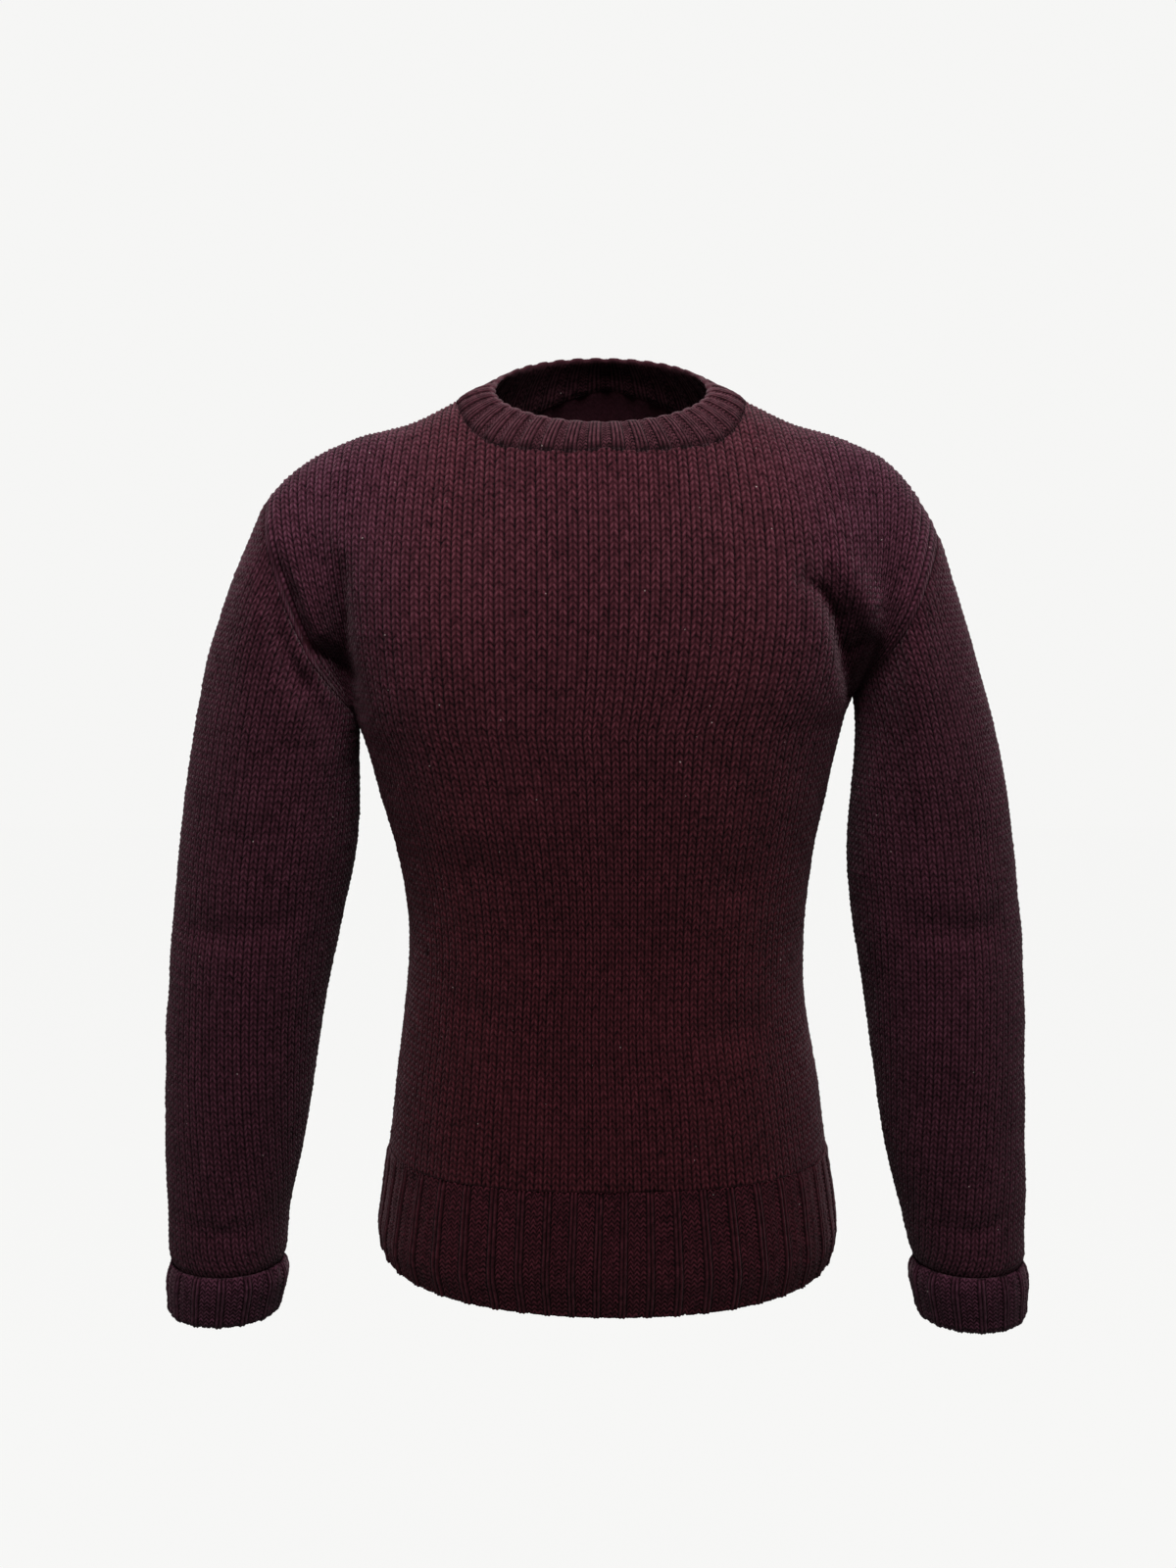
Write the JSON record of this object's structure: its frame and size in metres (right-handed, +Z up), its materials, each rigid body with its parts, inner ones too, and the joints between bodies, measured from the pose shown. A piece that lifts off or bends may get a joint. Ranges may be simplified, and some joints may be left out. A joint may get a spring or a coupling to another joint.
{
  "type": "sweater",
  "caption": "Hollow crew-neck wool pullover in plain knit, filled out as worn, with ribbed neckband and hem and turned-back ribbed cuffs.",
  "frame": {"origin": "middle of the neck hole, level with the points where the neckband meets the shoulder seams", "axes": "+Z up, -Y towards the front of the garment, +X towards the wearer's left"},
  "size_m": [0.7011, 0.2653, 0.7688],
  "materials": {
    "plain_knit": "chunky plain-knit wool with a light fuzz",
    "sleeve_knit": "chunky plain-knit wool with a light fuzz",
    "rib_knit": "rib-knit wool with a light fuzz"
  },
  "bodies": {
    "root": {"front": "plain_knit", "back": "plain_knit", "right_sleeve": "sleeve_knit", "left_sleeve": "sleeve_knit", "front_hem_rib": "rib_knit", "back_hem_rib": "rib_knit", "right_cuff": "rib_knit", "left_cuff": "rib_knit", "neckband": "rib_knit"}
  },
  "joints": []
}
